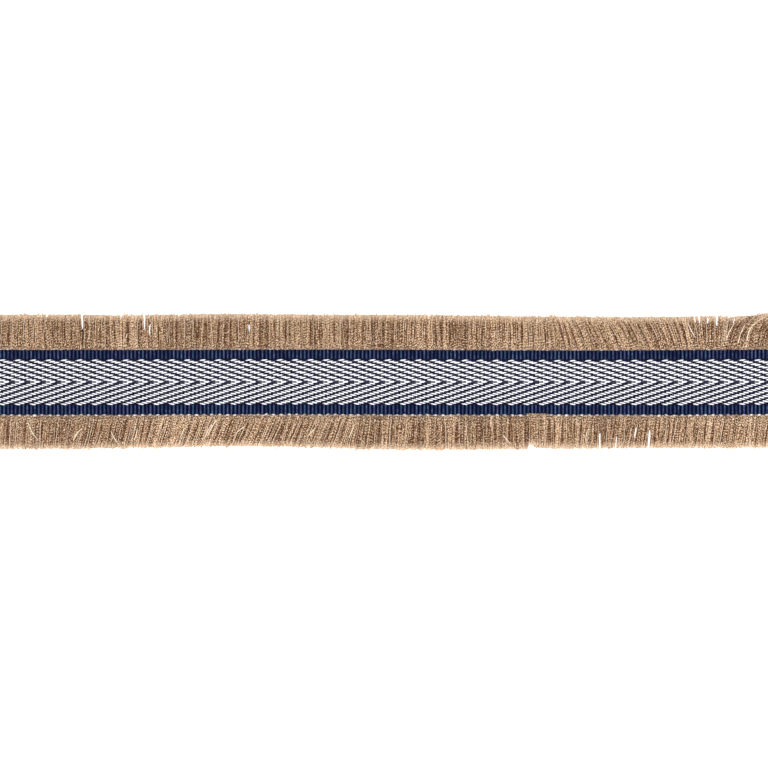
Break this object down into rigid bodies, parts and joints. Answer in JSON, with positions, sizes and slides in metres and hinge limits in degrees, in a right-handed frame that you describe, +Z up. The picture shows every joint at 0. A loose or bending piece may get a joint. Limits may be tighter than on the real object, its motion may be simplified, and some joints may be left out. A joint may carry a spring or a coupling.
{
  "type": "double brush fringe trim",
  "caption": "Flat upholstery trim, cut to a length: a woven herringbone tape with dark ribbed borders and a tan brush fringe of twisted yarn along each long edge.",
  "frame": {"origin": "on the flat underside, in the middle of the trim's outline", "axes": "+X along the trim, the way its chevrons point; +Y across it towards the upper fringe; +Z up, out of its face"},
  "size_m": [0.306, 0.052, 0.002],
  "materials": {
    "tape_yarn": "matt navy cotton yarn, woven in ribs",
    "white_yarn": "soft white cotton yarn in long floats",
    "fringe_yarn": "matt tan twisted yarn with pale cut tips"
  },
  "bodies": {
    "root": {"woven_tape": "tape_yarn", "upper_fringe": "fringe_yarn", "lower_fringe": "fringe_yarn"}
  },
  "joints": []
}
